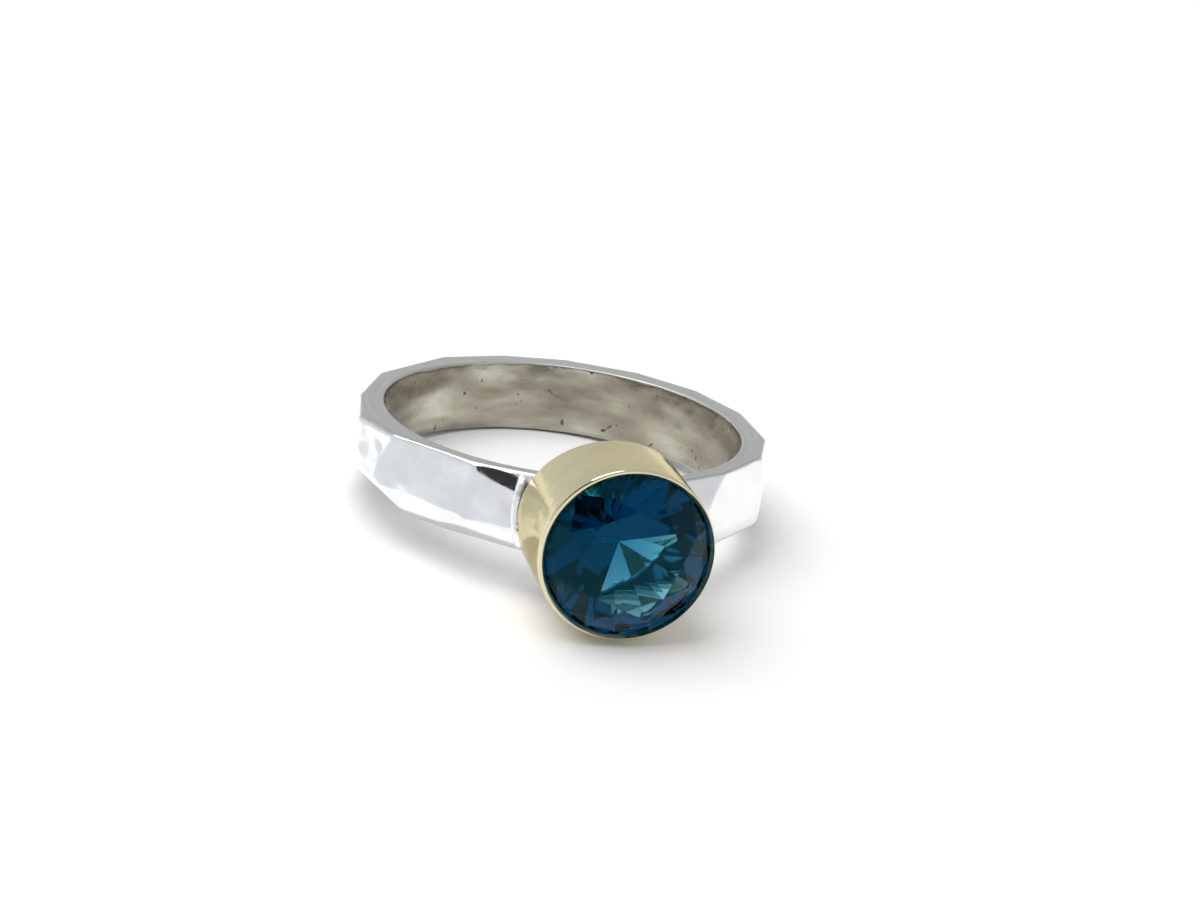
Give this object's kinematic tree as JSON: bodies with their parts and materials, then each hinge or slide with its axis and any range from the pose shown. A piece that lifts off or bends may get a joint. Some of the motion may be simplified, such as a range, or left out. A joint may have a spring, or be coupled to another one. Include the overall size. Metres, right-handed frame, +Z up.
{
  "type": "stackable ring",
  "caption": "Hammered silver finger ring with a yellow gold tube setting and a round faceted deep blue stone, lying on its side.",
  "frame": {"origin": "on the table, under the middle of the ring's box, as the ring lies by itself on its side", "axes": "+Z up from the table, which is nearly the axis of the finger hole; the stone faces -Y, and +X is to the right of a viewer who looks at the stone"},
  "size_m": [0.0204, 0.0248, 0.0082],
  "materials": {
    "silver": "hammered outside, polished, with satin flat sides",
    "gold": "polished pale yellow gold",
    "blue_stone": "faceted and polished, deep teal blue"
  },
  "bodies": {
    "root": {"band": "silver", "bezel": "gold", "stone": "blue_stone"}
  },
  "joints": []
}
